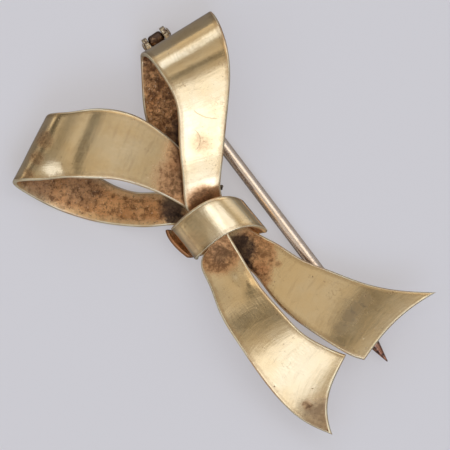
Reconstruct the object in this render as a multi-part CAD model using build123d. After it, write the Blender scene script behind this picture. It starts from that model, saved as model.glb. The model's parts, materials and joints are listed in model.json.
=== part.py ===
from build123d import *
from collections import namedtuple
from math import cos, radians, sin
import os

# Ribbon bow brooch of gold-coloured sheet metal, lying on its back, in millimetres. +Z is up and
# away from the wearer, +Y is up on the garment. Two loops and two tails are strips of one sheet
# thickness, held at the middle by a bent knot band, with a hinged pin behind.

# Sheet and clearances
sheet = 0.45                    # thickness of every strip
gap = 0.05                      # air between two strips that lie on each other
fit = 0.04                      # air round the rivet and beside the pin's knuckle

# Left loop
left_heading = 157.0            # degrees, from +X
left_length = 20.4              # from the knot's middle to the fold
left_width = 7.5                # along the fold
left_rise = 2.9                 # of the front strip above its place in the knot

# Upper loop
upper_heading = 101.5
upper_length = 20.0
upper_width = 7.7
upper_rise = 4.1
upper_drop = 0.42               # of the back strip, from the knot down to the hinge

# Lower tail
low_heading = -56.0
low_length = 23.4
low_width = 8.3
low_fall = 2.7                  # height that its table's lifts are shares of
low_hollow = 0.65               # depth of the hollow cut at the end

# Upper tail
high_heading = -34.0
high_length = 21.5
high_width = 9.7
high_rise = 1.9                 # from the knot up to its crest
high_hollow = 0.7

# Knot band
knot_floor = 1.0                # underside of the band above the surface
knot_heading = 21.0             # of the band's run over the bow
knot_axis = -50.3               # across the band, from one cut edge to the other
knot_span = 7.8                 # over the bent sides
knot_width = 4.0                # of the band
knot_rise = 4.27                # of the arch above the back wall
knot_lean = 1.35                # of the arch's top towards the loops
knot_set_back = -0.27           # of the sides from the knot's middle, the other way
knot_tilt = 0.43                # of the arch's edge at the tails, down

# Pin and hinge
hinge_out = 19.7                # the rivet's place, out from the knot along the upper loop
hinge_side = -2.37              # and across the loop
hinge_heading = 33.9            # of the rivet
knuckle_radius = 0.66
knuckle_length = 1.5
ear_radius = 0.8
ear_thickness = 0.55
ear_reach = 1.3                 # from the rivet towards the knot
plate_start = 0.75              # from the rivet towards the knot
plate_end = 4.2
rivet_radius = 0.3
rivet_head_radius = 0.5
rivet_head = 0.2
stem_radius = 0.62
lead_heading = -60.4            # of the stem from the hinge to its bend
lead_length = 8.05
stem_heading = -52.8            # of the stem from its bend to the point
stem_length = 31.6
bend_radius = 20.0
taper_length = 6.0              # slow taper before the point
point_length = 2.1
point_share = 0.86              # of the stem's radius, where the point starts
point_end_radius = 0.05

# Catch
catch_setback = 5.9             # from the pin's point
catch_width = 1.6               # along the stem
catch_wire = 0.45               # thickness of its strip
catch_foot = 1.1                # of the foot past the stem, on the closed side
catch_bend = 0.5                # radius of its bends
lip_gap = 0.08                  # between the lip and the stem's path
throat = 0.6                    # between the stem and the leg

Ruling = namedtuple("Ruling", "out_low side_low out_high side_high lift_low lift_high")
Bend = namedtuple("Bend", "span rise lean width")

# Each row is one straight line across a strip. "low" is its end on the anticlockwise side, seen from
# the front and going out from the knot, and "high" its other end. "out" is a share of the strip's
# length, "side" of its width, and "lift" of its rise, fall or drop from its place in the knot.
LEFT_BACK = [
    Ruling(0.02, -0.17, 0.02, 0.12, 0.00, 0.00),
    Ruling(0.20, -0.19, 0.20, 0.10, -0.04, -0.04),
    Ruling(0.28, -0.30, 0.28, 0.13, -0.14, -0.14),
    Ruling(0.34, -0.38, 0.34, 0.12, -0.31, -0.31),
    Ruling(0.41, -0.45, 0.41, 0.04, -0.54, -0.54),
    Ruling(0.54, -0.55, 0.54, -0.02, -0.89, -0.89),
    Ruling(0.70, -0.61, 0.70, 0.05, -0.99, -0.99),
    Ruling(0.84, -0.61, 0.84, 0.22, -0.74, -0.74),
]
LEFT_FRONT = [
    Ruling(0.94, -0.58, 0.91, 0.35, -0.53, -0.53),
    Ruling(1.01, -0.52, 0.98, 0.48, -0.01, -0.01),
    Ruling(0.98, -0.45, 0.96, 0.55, 0.40, 0.40),
    Ruling(0.90, -0.34, 0.89, 0.65, 0.77, 0.77),
    Ruling(0.80, -0.20, 0.80, 0.80, 0.98, 0.98),
    Ruling(0.69, -0.08, 0.69, 0.91, 0.97, 0.97),
    Ruling(0.56, 0.05, 0.56, 0.94, 0.82, 0.82),
    Ruling(0.44, 0.10, 0.44, 0.88, 0.61, 0.61),
    Ruling(0.34, 0.11, 0.34, 0.79, 0.40, 0.40),
    Ruling(0.24, 0.09, 0.24, 0.61, 0.18, 0.18),
    Ruling(0.16, 0.04, 0.16, 0.43, 0.03, 0.03),
    Ruling(0.08, -0.07, 0.08, 0.27, 0.00, 0.00),
    Ruling(0.01, -0.13, 0.01, 0.20, 0.00, 0.00),
]
UPPER_BACK = [
    Ruling(0.01, -0.20, 0.01, 0.22, 0.00, 0.00),
    Ruling(0.14, -0.30, 0.14, 0.10, -0.10, -0.10),
    Ruling(0.25, -0.40, 0.25, 0.14, -0.30, -0.30),
    Ruling(0.40, -0.53, 0.40, 0.25, -0.75, -0.75),
    Ruling(0.60, -0.65, 0.61, 0.40, -1.00, -1.00),
    Ruling(0.73, -0.63, 0.78, 0.50, -1.00, -1.00),
    Ruling(0.83, -0.59, 0.93, 0.53, -0.90, -0.90),
]
UPPER_FRONT = [
    Ruling(0.90, -0.56, 1.01, 0.52, -0.26, -0.26),
    Ruling(0.92, -0.53, 1.06, 0.47, 0.18, 0.18),
    Ruling(0.91, -0.48, 1.04, 0.50, 0.52, 0.52),
    Ruling(0.87, -0.41, 0.99, 0.54, 0.80, 0.80),
    Ruling(0.80, -0.33, 0.90, 0.57, 0.98, 0.98),
    Ruling(0.71, -0.25, 0.79, 0.56, 0.97, 0.97),
    Ruling(0.60, -0.23, 0.65, 0.48, 0.83, 0.83),
    Ruling(0.48, -0.28, 0.50, 0.36, 0.61, 0.61),
    Ruling(0.35, -0.32, 0.36, 0.25, 0.38, 0.38),
    Ruling(0.24, -0.35, 0.24, 0.15, 0.24, 0.24),
    Ruling(0.12, -0.36, 0.16, 0.12, 0.08, 0.08),
    Ruling(0.06, -0.25, 0.07, 0.14, 0.01, 0.01),
    Ruling(-0.01, -0.19, 0.00, 0.17, 0.00, 0.00),
]
LOWER_TAIL = [
    Ruling(-0.04, -0.16, -0.04, 0.16, 0.00, 0.01),
    Ruling(0.03, -0.07, 0.03, 0.18, 0.00, -0.12),
    Ruling(0.08, -0.05, 0.06, 0.35, -0.04, -0.28),
    Ruling(0.20, -0.03, 0.17, 0.48, -0.05, -0.22),
    Ruling(0.30, -0.02, 0.29, 0.56, 0.04, 0.05),
    Ruling(0.43, -0.06, 0.44, 0.59, 0.12, 0.11),
    Ruling(0.56, -0.12, 0.60, 0.59, 0.06, -0.08),
    Ruling(0.65, -0.23, 0.77, 0.55, -0.15, -0.48),
    Ruling(0.71, -0.33, 0.90, 0.44, -0.28, -0.61),
    Ruling(0.75, -0.41, 1.00, 0.27, -0.32, -0.58),
]
UPPER_TAIL = [
    Ruling(-0.03, -0.17, -0.03, 0.15, 0.00, 0.00),
    Ruling(0.09, -0.18, 0.09, 0.16, 0.00, 0.00),
    Ruling(0.17, -0.18, 0.17, 0.18, 0.01, 0.01),
    Ruling(0.25, -0.20, 0.24, 0.19, 0.09, 0.09),
    Ruling(0.39, -0.21, 0.40, 0.30, 0.34, 0.34),
    Ruling(0.54, -0.28, 0.56, 0.35, 0.67, 0.67),
    Ruling(0.69, -0.36, 0.70, 0.35, 0.93, 0.93),
    Ruling(0.82, -0.47, 0.80, 0.34, 1.00, 0.98),
    Ruling(0.92, -0.59, 0.86, 0.32, 0.97, 0.95),
    Ruling(1.00, -0.70, 0.90, 0.29, 0.92, 0.92),
]

# The knot band's run: from its front end at the left over the arch, down the right side, along the
# back and up outside the front end again. "span" is a share of half the span, "rise" of the arch's
# rise, "lean" of its lean and "width" of the band's width.
KNOT_BENDS = [
    Bend(-0.96, 0.18, 0.00, 1.00),
    Bend(-0.95, 0.35, 0.08, 1.00),
    Bend(-0.86, 0.55, 0.21, 1.00),
    Bend(-0.64, 0.76, 0.48, 1.00),
    Bend(-0.31, 0.90, 0.79, 1.00),
    Bend(0.05, 0.99, 0.99, 1.00),
    Bend(0.41, 0.98, 0.98, 1.00),
    Bend(0.70, 0.87, 0.72, 1.00),
    Bend(0.88, 0.65, 0.28, 1.00),
    Bend(0.93, 0.36, 0.05, 1.00),
    Bend(0.86, 0.09, -0.05, 0.90),
    Bend(0.66, 0.00, -0.10, 0.85),
    Bend(0.00, 0.00, -0.10, 0.85),
    Bend(-0.66, 0.00, -0.10, 0.85),
    Bend(-0.92, 0.02, -0.06, 0.85),
    Bend(-1.08, 0.06, 0.12, 0.90),
    Bend(-1.16, 0.12, 0.22, 0.90),
]


def direction(heading):
    """Level unit vector at an angle from +X."""
    return Vector(cos(radians(heading)), sin(radians(heading)), 0)


def knot_level(place):
    """Height of the middle of the strip that lies at this place in the knot, 0 for its back wall."""
    return knot_floor + sheet / 2 + place * (sheet + gap)


def rulings(rows, heading, length, width, level, travel):
    """The two ends of each straight line across a strip, from its table."""
    out, side = direction(heading), direction(heading - 90)
    ends = []
    for row in rows:
        low = out * (row.out_low * length) + side * (row.side_low * width)
        high = out * (row.out_high * length) + side * (row.side_high * width)
        low += Vector(0, 0, level + row.lift_low * travel)
        high += Vector(0, 0, level + row.lift_high * travel)
        ends.append((low, high))
    return ends


def strip(ends):
    """A strip of the sheet: four edge curves through the lines across it, and faces between them."""
    middles = [(low + high) / 2 for low, high in ends]
    last = len(ends) - 1
    corners = []
    for i, (low, high) in enumerate(ends):
        run = middles[min(i + 1, last)] - middles[max(i - 1, 0)]
        half = run.cross(high - low).normalized() * (sheet / 2)
        corners.append((low + half, high + half, high - half, low - half))
    stations = [0.0]
    for i in range(last):
        stations.append(stations[-1] + (middles[i + 1] - middles[i]).length)
    faces = []
    halves = []
    for line in zip(*corners):
        edge = Edge.make_spline(list(line), parameters=stations)
        middle = line[last // 2]
        halves.append((edge.trim(0.0, middle), edge.trim(middle, 1.0)))
    for i in range(4):
        for half, beside in zip(halves[i - 1], halves[i]):
            faces.append(Face.make_surface_from_curves(half, beside))
    for corner in (corners[0], corners[-1]):
        faces.append(Face(Wire.make_polygon(corner, close=True)))
    return Solid(Shell(faces))


def hollow_cut(ends, depth):
    """A tall cylinder that takes a shallow arc out of a strip's last edge."""
    low, high = ends[-1]
    chord = Vector(high.X - low.X, high.Y - low.Y, 0)
    radius = (chord.length ** 2 / 4 + depth ** 2) / (2 * depth)
    outward = Vector(-chord.Y, chord.X, 0).normalized()
    centre = (low + high) / 2 + outward * (radius - depth)
    return Pos(centre.X, centre.Y, centre.Z) * Cylinder(radius, 4 * knot_rise)


def height_over(ends, spot):
    """Height of a strip's middle surface at a level spot, straight between its lines across."""
    for (low, high), (next_low, next_high) in zip(ends, ends[1:]):
        before = (high - low).cross(spot - low).Z
        after = (next_high - next_low).cross(spot - next_low).Z
        if before * after <= 0:
            share = abs(before) / (abs(before) + abs(after))
            here, there = (low.Z + high.Z) / 2, (next_low.Z + next_high.Z) / 2
            return here + (there - here) * share
    return (ends[-1][0].Z + ends[-1][1].Z) / 2


hinge = direction(upper_heading) * hinge_out + direction(upper_heading - 90) * hinge_side
hinge += Vector(0, 0, ear_radius)
rivet_way = direction(hinge_heading)
inward = direction(hinge_heading - 90)
bend_point = hinge + direction(lead_heading) * lead_length
pin_tip = bend_point + direction(stem_heading) * stem_length
stem_way = direction(stem_heading)


def hinge_plane(along, height=0.0):
    """Upright plane at a place along the rivet: its X towards the knot, its Y up."""
    origin = hinge + rivet_way * along + Vector(0, 0, height)
    return Plane(origin=origin, x_dir=inward, z_dir=-rivet_way)


def upper_loop():
    """The loop with the hinge's plate and two ears soldered under its back strip."""
    back_level = knot_level(3)
    back = rulings(UPPER_BACK, upper_heading, upper_length, upper_width, back_level, upper_drop)
    front = rulings(UPPER_FRONT, upper_heading, upper_length, upper_width, knot_level(5), upper_rise)
    loop = strip(back + front)
    seat = back_level - upper_drop - ear_radius
    underside = knuckle_radius + 2 * fit
    half_width = knuckle_length / 2 + fit + ear_thickness
    plate = Pos((plate_start + plate_end) / 2, (underside + seat) / 2, 0) * Rectangle(
        plate_end - plate_start, seat - underside
    )
    hinge_solid = extrude(hinge_plane(half_width) * plate, 2 * half_width)
    cheek = Pos(ear_reach / 2, (seat - ear_radius) / 2) * Rectangle(ear_reach, seat + ear_radius)
    ear = Circle(ear_radius) + cheek
    for start in (half_width, -half_width + ear_thickness):
        hinge_solid += extrude(hinge_plane(start) * ear, ear_thickness)
    hole = Circle(rivet_radius + fit)
    hinge_solid -= extrude(hinge_plane(half_width) * hole, 2 * half_width)
    return loop + hinge_solid


def left_loop():
    drop = knot_level(2) - sheet / 2      # lets the back strip down to the surface
    back = rulings(LEFT_BACK, left_heading, left_length, left_width, knot_level(2), drop)
    front = rulings(LEFT_FRONT, left_heading, left_length, left_width, knot_level(4), left_rise)
    return strip(back + front)


def lower_tail():
    ends = rulings(LOWER_TAIL, low_heading, low_length, low_width, knot_level(6), low_fall)
    return strip(ends) - hollow_cut(ends, low_hollow)


def upper_tail():
    """The tail with the catch soldered on its back."""
    ends = rulings(UPPER_TAIL, high_heading, high_length, high_width, knot_level(1), high_rise)
    tail = strip(ends) - hollow_cut(ends, high_hollow)
    return tail + catch(ends)


def catch(ends):
    """A strip bent like a C round the pin: foot under the tail, leg, and lip towards the pin."""
    spot = pin_tip - stem_way * catch_setback
    foot_height = height_over(ends, spot) - sheet
    leg = stem_radius + throat + catch_wire / 2
    lip = stem_radius + lip_gap
    bottom = catch_wire / 2
    line = FilletPolyline(
        (-catch_foot, foot_height), (leg, foot_height), (leg, bottom), (lip, bottom), radius=catch_bend
    )
    outward = direction(stem_heading + 90)
    start = Vector(spot.X, spot.Y, 0) - stem_way * (catch_width / 2)
    upright = Plane(origin=start, x_dir=outward, z_dir=stem_way)
    return extrude(upright * trace(line, catch_wire), catch_width)


def knot_band():
    run, lean = direction(knot_heading), direction(knot_heading + 90)
    ends = []
    for bend in KNOT_BENDS:
        middle = run * (bend.span * knot_span / 2)
        middle += lean * (knot_set_back + bend.lean * knot_lean)
        middle += Vector(0, 0, knot_level(0) + bend.rise * knot_rise)
        across = direction(knot_axis) * (bend.width * knot_width / 2)
        across -= Vector(0, 0, bend.rise * knot_tilt)
        ends.append((middle - across, middle + across))
    return strip(ends)


def hinge_rivet():
    half = knuckle_length / 2 + fit + ear_thickness + fit
    shank = extrude(hinge_plane(half) * Circle(rivet_radius), 2 * half)
    head = extrude(hinge_plane(half + rivet_head) * Circle(rivet_head_radius), rivet_head)
    tail_head = extrude(hinge_plane(-half) * Circle(rivet_head_radius), rivet_head)
    return shank + head + tail_head


def pin_stem():
    """Knuckle, round stem with one slight bend, slow taper and point."""
    taper_start = pin_tip - stem_way * taper_length
    point_start = pin_tip - stem_way * point_length
    lead_way = direction(lead_heading)
    line = FilletPolyline(hinge, bend_point, taper_start, radius=bend_radius)
    stem = sweep(Plane(origin=hinge, z_dir=lead_way) * Circle(stem_radius), path=line)
    point_radius = point_share * stem_radius
    rounds = [(taper_start, stem_radius), (point_start, point_radius), (pin_tip, point_end_radius)]
    for (start, wide), (end, narrow) in zip(rounds, rounds[1:]):
        length = (end - start).length
        cone = Cone(wide, narrow, length, align=(Align.CENTER, Align.CENTER, Align.MIN))
        stem += Plane(origin=start, z_dir=stem_way) * cone
    knuckle = extrude(hinge_plane(knuckle_length / 2) * Circle(knuckle_radius), knuckle_length)
    bore = extrude(hinge_plane(knuckle_length) * Circle(rivet_radius + fit), 2 * knuckle_length)
    return stem + knuckle - bore


pieces = {
    "left_loop": left_loop(),
    "upper_loop": upper_loop(),
    "lower_tail": lower_tail(),
    "upper_tail": upper_tail(),
    "knot_band": knot_band(),
    "hinge_rivet": hinge_rivet(),
    "pin_stem": pin_stem(),
}
whole = Compound(list(pieces.values())).bounding_box()
to_origin = Pos(-whole.center().X, -whole.center().Y, -whole.min.Z)
os.makedirs("parts", exist_ok=True)
for name, piece in pieces.items():
    export_step(to_origin * piece, f"parts/{name}.step")
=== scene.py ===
import bpy
import json
import numpy as np
from collections import namedtuple
from math import cos, radians, sin, tan
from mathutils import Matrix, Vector, noise


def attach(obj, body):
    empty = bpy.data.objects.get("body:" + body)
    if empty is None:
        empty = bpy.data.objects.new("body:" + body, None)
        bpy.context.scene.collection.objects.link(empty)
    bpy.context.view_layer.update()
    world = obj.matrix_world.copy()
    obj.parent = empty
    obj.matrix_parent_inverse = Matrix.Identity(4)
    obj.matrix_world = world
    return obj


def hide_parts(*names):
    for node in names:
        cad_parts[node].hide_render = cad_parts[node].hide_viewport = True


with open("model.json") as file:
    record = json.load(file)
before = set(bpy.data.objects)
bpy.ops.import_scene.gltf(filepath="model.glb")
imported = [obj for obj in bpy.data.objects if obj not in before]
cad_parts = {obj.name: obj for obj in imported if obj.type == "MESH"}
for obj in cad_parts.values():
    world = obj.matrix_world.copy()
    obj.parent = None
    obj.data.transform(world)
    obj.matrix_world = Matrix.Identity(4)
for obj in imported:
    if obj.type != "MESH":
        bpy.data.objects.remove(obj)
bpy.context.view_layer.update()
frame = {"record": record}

mm = 0.001

# Left loop
# A length of thin gold-faced sheet, about 7.5 mm wide, bent back on itself with both ends laid into
# the knot. Its face is polished, its inside was never finished and has gone copper brown, and the cut
# edges are rubbed bright. The middle of its back lies lowest, against the garment.
sheet = 0.45 * mm
gap = 0.05 * mm  # air between two strips that lie on each other
knot_floor = 1.0 * mm  # underside of the knot band above the surface
left_heading = 157.0  # degrees, from +X
left_length = 20.4 * mm
left_width = 7.5 * mm
left_rise = 2.9 * mm
hinge_from_knot = Vector((-6.25, 18.832, 0.8)) * mm  # to the middle of the rivet
joint = frame["record"]["behaviour"]["joints"][0]
knot = Vector(joint["pos_m"]) - hinge_from_knot

# A straight line across a strip. Each of its two ends lies out along the strip's heading, beside it
# and up, by these shares of the strip's length, width and rise.
Ruling = namedtuple("Ruling", "out_low side_low out_high side_high lift_low lift_high")
LEFT_BACK = [
    Ruling(0.02, -0.17, 0.02, 0.12, 0.00, 0.00),
    Ruling(0.20, -0.19, 0.20, 0.10, -0.04, -0.04),
    Ruling(0.28, -0.30, 0.28, 0.13, -0.14, -0.14),
    Ruling(0.34, -0.38, 0.34, 0.12, -0.31, -0.31),
    Ruling(0.41, -0.45, 0.41, 0.04, -0.54, -0.54),
    Ruling(0.54, -0.55, 0.54, -0.02, -0.89, -0.89),
    Ruling(0.70, -0.61, 0.70, 0.05, -0.99, -0.99),
    Ruling(0.84, -0.61, 0.84, 0.22, -0.74, -0.74),
]
LEFT_FRONT = [
    Ruling(0.94, -0.58, 0.91, 0.35, -0.53, -0.53),
    Ruling(1.01, -0.52, 0.98, 0.48, -0.01, -0.01),
    Ruling(0.98, -0.45, 0.96, 0.55, 0.40, 0.40),
    Ruling(0.90, -0.34, 0.89, 0.65, 0.77, 0.77),
    Ruling(0.80, -0.20, 0.80, 0.80, 0.98, 0.98),
    Ruling(0.69, -0.08, 0.69, 0.91, 0.97, 0.97),
    Ruling(0.56, 0.05, 0.56, 0.94, 0.82, 0.82),
    Ruling(0.44, 0.10, 0.44, 0.88, 0.61, 0.61),
    Ruling(0.34, 0.11, 0.34, 0.79, 0.40, 0.40),
    Ruling(0.24, 0.09, 0.24, 0.61, 0.18, 0.18),
    Ruling(0.16, 0.04, 0.16, 0.43, 0.03, 0.03),
    Ruling(0.08, -0.07, 0.08, 0.27, 0.00, 0.00),
    Ruling(0.01, -0.13, 0.01, 0.20, 0.00, 0.00),
]


def direction(heading):
    """Level unit vector at an angle from +X."""
    return Vector((cos(radians(heading)), sin(radians(heading)), 0))


def knot_level(place):
    """Height of the middle of the strip that lies at this place in the knot, 0 for its back wall."""
    return knot_floor + sheet / 2 + place * (sheet + gap)


def rulings(rows, heading, length, width, level, travel):
    """The two ends of each straight line across a strip, from its table."""
    out, side = direction(heading), direction(heading - 90)
    foot = Vector((knot.x, knot.y, level))
    ends = []
    for row in rows:
        low = foot + out * (row.out_low * length) + side * (row.side_low * width)
        high = foot + out * (row.out_high * length) + side * (row.side_high * width)
        low.z += row.lift_low * travel
        high.z += row.lift_high * travel
        ends.append((low, high))
    return ends


def smooth_line(stations, values, at):
    """A natural cubic spline through values at the stations, read at other places along it."""
    count = len(stations)
    step = np.diff(stations)
    system = np.eye(count)
    pull = np.zeros_like(values)
    for i in range(1, count - 1):
        system[i, i - 1:i + 2] = step[i - 1], 2 * (step[i - 1] + step[i]), step[i]
        pull[i] = 6 * ((values[i + 1] - values[i]) / step[i] - (values[i] - values[i - 1]) / step[i - 1])
    bend = np.linalg.solve(system, pull)
    i = np.clip(np.searchsorted(stations, at) - 1, 0, count - 2)
    wide = step[i][:, None]
    before = (at - stations[i])[:, None]
    after = wide - before
    cubic = (bend[i] * after ** 3 + bend[i + 1] * before ** 3) / (6 * wide)
    first = (values[i] / wide - bend[i] * wide / 6) * after
    second = (values[i + 1] / wide - bend[i + 1] * wide / 6) * before
    return cubic + first + second


def smooth_piece(name, points, faces, metals):
    """A piece from its points and faces, shaded smooth, with its materials in their order."""
    mesh = bpy.data.meshes.new(name)
    mesh.from_pydata(points, [], faces)
    mesh.polygons.foreach_set("use_smooth", [True] * len(faces))
    for metal in metals:
        mesh.materials.append(metal)
    piece = bpy.data.objects.new(name, mesh)
    bpy.context.collection.objects.link(piece)
    return piece


# A shallow hollow in a strip, or a rise where its depth is negative, at a place beside the knot. All
# four are in millimetres.
Dent = namedtuple("Dent", "x y depth reach")


def ribbon(name, ends, face, metals, hollow=0.0, dents=(), wave=0.016 * mm, columns=30, grain=0.2 * mm):
    """A strip of sheet through lines across it, with rubbed edges and slight waves.

    face is 1 where the polished side is on the left of the run, -1 where it is on the right. metals are
    its polished face, its unfinished back and its cut edges. hollow is the depth of the arc that is cut
    out of its last edge, wave the height of the waves, columns the lines along it and grain the space
    between the lines across. Its points keep their way along it and their distance from both long
    edges, in millimetres, in the attribute "lay".
    """
    lines = np.array([[*low, *high] for low, high in ends])
    middles = (lines[:, :3] + lines[:, 3:]) / 2
    stations = np.concatenate([[0], np.cumsum(np.linalg.norm(np.diff(middles, axis=0), axis=1))])
    half = sheet / 2
    rub = 0.85 * half  # radius of the rubbed edges
    swell = 3.2 * mm  # from wave to wave
    turns = np.radians([90, 60, 30])
    nearing = rub * (1 - np.sin(turns))
    thinning = (half - rub + rub * np.cos(turns)) / half
    count = int(stations[-1] / grain)
    full = np.concatenate([thinning, np.ones(count), thinning[::-1]])
    across = np.linspace(0, 1, columns)

    # The middle surface, row by row along the strip
    grid = np.zeros((len(full), columns, 3))
    for k, share in enumerate(across):
        length = stations[-1] - hollow * 4 * share * (1 - share)
        at = np.concatenate([nearing, np.linspace(rub, length - rub, count), length - nearing[::-1]])
        both = smooth_line(stations, lines, at)
        wide = np.linalg.norm(both[:, 3:] - both[:, :3], axis=1)[:, None]
        inset = rub / wide + share * (1 - 2 * rub / wide)
        grid[:, k] = both[:, :3] * (1 - inset) + both[:, 3:] * inset

    def facing():
        normals = np.cross(np.gradient(grid, axis=0), np.gradient(grid, axis=1))
        return normals / np.linalg.norm(normals, axis=2)[:, :, None]

    lean = facing()
    for i, k in np.ndindex(len(full), columns):
        spot = Vector(grid[i, k]) / swell
        grid[i, k] += lean[i, k] * wave * (noise.noise(spot) + 0.3 * noise.noise(spot * 2.6))
    for dent in dents:
        from_x = grid[:, :, 0] - knot.x - dent.x * mm
        from_y = grid[:, :, 1] - knot.y - dent.y * mm
        away = np.hypot(from_x, from_y) / (dent.reach * mm)
        grid -= lean * (face * dent.depth * mm * np.exp(-away ** 2))[:, :, None]
    lean = facing() * full[:, None, None]
    beyond = {0: grid[:, 0] - grid[:, 1], columns - 1: grid[:, -1] - grid[:, -2]}
    beyond = {k: way / np.linalg.norm(way, axis=1)[:, None] for k, way in beyond.items()}

    # Once round the strip: the column, how far out past it, and how far over the middle surface
    rim = [(rub * cos(turn), half - rub + rub * sin(turn)) for turn in np.radians([60, 30, 0])]
    under = [(out, -height) for out, height in rim]
    profile = [(k, 0.0, half) for k in range(columns)]
    profile += [(columns - 1, out, height) for out, height in rim + under[::-1]]
    profile += [(k, 0.0, -half) for k in reversed(range(columns))]
    profile += [(0, out, height) for out, height in under + rim[::-1]]
    round_it = len(profile)
    points = np.zeros((len(full), round_it, 3))
    lay = np.zeros((len(full), round_it, 3))
    breadth = np.linalg.norm(grid[:, -1] - grid[:, 0], axis=1) / mm
    for j, (k, out, height) in enumerate(profile):
        lay[:, j, 0] = np.linspace(0, stations[-1] / mm, len(full))
        lay[:, j, 1] = breadth * across[k]
        lay[:, j, 2] = breadth * (1 - across[k])
        points[:, j] = grid[:, k] + lean[:, k] * height
        if out:
            points[:, j] += beyond[k] * out

    # Faces, each with the number of its metal
    faces = []
    kinds = []
    polished, unfinished, edge = range(3)
    flats = {half: polished if face > 0 else unfinished, -half: unfinished if face > 0 else polished}
    for i in range(len(full) - 1):
        for j in range(round_it):
            beside = (j + 1) % round_it
            row, after = i * round_it, (i + 1) * round_it
            faces.append([row + j, after + j, after + beside, row + beside])
            flat = profile[j][2] == profile[beside][2] and len(turns) <= i < len(full) - 1 - len(turns)
            kinds.append(flats.get(profile[j][2], edge) if flat else edge)
    below = 2 * (columns + len(rim)) - 1  # column 0 on the underside
    for row, order in ((0, 1), ((len(full) - 1) * round_it, -1)):
        for j in range(-len(rim), columns + len(rim) - 1):
            ring = [j, j + 1, below - j - 1, below - j]
            faces.append([row + corner % round_it for corner in ring[::order]])
            kinds.append(edge)
    piece = smooth_piece(name, points.reshape(-1, 3).tolist(), faces, metals)
    piece.data.polygons.foreach_set("material_index", kinds)
    piece.data.attributes.new("lay", "FLOAT_VECTOR", "POINT").data.foreach_set("vector", lay.ravel())
    return piece


class Paint:
    """A socket in a material. Sums on it add Math nodes, and add() adds any other node."""

    def __init__(self, tree, socket=None):
        self.tree = tree
        self.socket = socket

    def add(self, kind, settings=None, sockets=None, out=0):
        """A new node of this kind, its settings set first, then the values or links of its sockets."""
        node = self.tree.nodes.new(kind)
        for name, value in (settings or {}).items():
            setattr(node, name, value)
        for key, value in (sockets or {}).items():
            if isinstance(value, Paint):
                self.tree.links.new(value.socket, node.inputs[key])
            else:
                node.inputs[key].default_value = value
        return Paint(self.tree, node.outputs[out] if node.outputs else None)

    def maths(self, operation, first, second=0.0):
        return self.add("ShaderNodeMath", {"operation": operation}, {0: first, 1: second})

    def __add__(self, other):
        return self.maths("ADD", self, other)

    def __radd__(self, other):
        return self.maths("ADD", other, self)

    def __sub__(self, other):
        return self.maths("SUBTRACT", self, other)

    def __rsub__(self, other):
        return self.maths("SUBTRACT", other, self)

    def __mul__(self, other):
        return self.maths("MULTIPLY", self, other)

    def __rmul__(self, other):
        return self.maths("MULTIPLY", other, self)

    def lesser(self, other):
        """The smaller of the two."""
        return self.maths("MINIMUM", self, other)

    def unsigned(self):
        """This without its sign."""
        return self.maths("ABSOLUTE", self)

    def mottle(self, scale, detail, roughness=0.55):
        """Cloudy noise, with scale in clouds a metre."""
        sockets = {"Vector": self, "Scale": scale, "Detail": detail, "Roughness": roughness}
        return self.add("ShaderNodeTexNoise", {}, sockets, "Fac")

    def step(self, low, high):
        """0 where this is under low, 1 where it is over high, and smooth between."""
        limits = {"Value": self, "From Min": low, "From Max": high}
        return self.add("ShaderNodeMapRange", {"interpolation_type": "SMOOTHSTEP"}, limits)

    def blend(self, first, second):
        """Mix two colours by this."""
        return self.add("ShaderNodeMix", {"data_type": "RGBA"}, {0: self, 6: first, 7: second}, 2)

    def from_spot(self, x, y):
        """Distance from a spot beside the knot, whose place is in millimetres, seen from the front."""
        spot = (knot.x + x * mm, knot.y + y * mm, 0.0)
        flat = self.add("ShaderNodeVectorMath", {"operation": "MULTIPLY"}, {0: self, 1: (1, 1, 0)})
        return flat.add("ShaderNodeVectorMath", {"operation": "DISTANCE"}, {0: flat, 1: spot}, "Value")

    def near(self, x, y, reach, soft):
        """1 close to a spot beside the knot and 0 far from it, all in millimetres."""
        return 1 - self.from_spot(x, y).step(reach * mm, (reach + soft) * mm)


def skin(name):
    """A new material with its shader, and the Object coordinates to paint it by."""
    made = bpy.data.materials.new(name)
    made.use_nodes = True
    shader = made.node_tree.nodes["Principled BSDF"]
    place = Paint(made.node_tree).add("ShaderNodeTexCoord", out="Object")
    return made, shader, place


def fix(shader, **values):
    """Joins what is painted to the shader's sockets, such as Base_Color, and sets plain values on them."""
    for name, value in values.items():
        socket = shader.inputs[name.replace("_", " ")]
        if isinstance(value, Paint):
            value.tree.links.new(value.socket, socket)
        else:
            socket.default_value = value


def relief(height, distance, strength=1.0, under=None):
    """A Bump node's normal from a height between 0 and 1."""
    sockets = {"Strength": strength, "Distance": distance, "Height": height}
    if under is not None:
        sockets["Normal"] = under
    return height.add("ShaderNodeBump", {}, sockets, "Normal")


pale_gold = (0.80, 0.585, 0.325, 1)
warm_gold = (0.78, 0.53, 0.255, 1)
film_brown = (0.42, 0.25, 0.11, 1)
copper = (0.70, 0.33, 0.13, 1)
crust_brown = (0.20, 0.085, 0.033, 1)
# dark brown of dirt, also used for painted shade
soot_and_shade_brown = (0.075, 0.05, 0.038, 1)


def ragged(place):
    """Fine uneven grain about 0, for the rims of stains."""
    return place.mottle(900, 3, 0.6) * 0.5 + place.mottle(2600, 5, 0.75) - 0.75


def lay_on_strip(place):
    """What a ribbon's points keep of their place on it."""
    return place.add("ShaderNodeAttribute", {"attribute_name": "lay"}, {}, "Vector")


def from_edge(lay):
    """Distance from the strip's nearer long edge, in millimetres."""
    low, high = [lay.add("ShaderNodeSeparateXYZ", {}, {0: lay}, axis) for axis in "YZ"]
    return low.lesser(high)
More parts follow.
